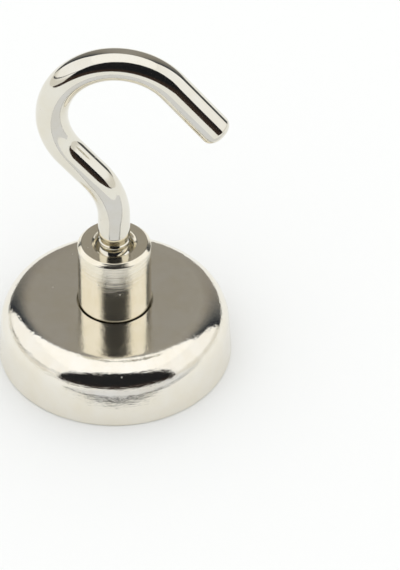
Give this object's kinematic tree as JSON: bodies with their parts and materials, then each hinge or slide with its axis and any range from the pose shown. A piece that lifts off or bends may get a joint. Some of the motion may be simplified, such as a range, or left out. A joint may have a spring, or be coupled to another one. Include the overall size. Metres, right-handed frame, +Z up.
{
  "type": "hook pot magnet",
  "caption": "Small round pot magnet with a rounded nickel-plated steel cup, a tall threaded bush and a screw-in open hook of bent round wire.",
  "frame": {"origin": "centre of the flat holding face on the underside of the cup", "axes": "+Z up the axis of the thread, away from the holding face; the hook lies in the XZ plane with its point towards +X"},
  "size_m": [0.025, 0.025, 0.041],
  "materials": {
    "cup_nickel": "bright nickel plate on drawn steel",
    "bush_nickel": "bright nickel plate with fine turning lines",
    "hook_nickel": "bright nickel plate on drawn wire",
    "magnet_nickel": "satin nickel plate on sintered magnet",
    "adhesive": "cured glue film",
    "potting_resin": "cured black resin"
  },
  "bodies": {
    "magnet_base": {"steel_cup": "cup_nickel", "threaded_bush": "bush_nickel", "disc_magnet": "magnet_nickel", "bond_film": "adhesive", "potting_ring": "potting_resin"},
    "thread_lead": {"hook_pilot_tip": "hook_nickel"},
    "hook": {"screw_hook": "hook_nickel"}
  },
  "joints": [
    {"name": "hook_lift", "type": "slide", "parent": "magnet_base", "child": "thread_lead", "axis": [0, 0, 1], "range_m": [0, 0.0074]},
    {"name": "hook_turn", "type": "hinge", "parent": "thread_lead", "child": "hook", "pos_m": [0, 0, 0.01], "axis": [0, 0, 1], "range_deg": [0, 3780]}
  ],
  "couplings": [
    {"joint": "hook_lift", "follows": "hook_turn", "m_per_rad": 0.00011141}
  ]
}
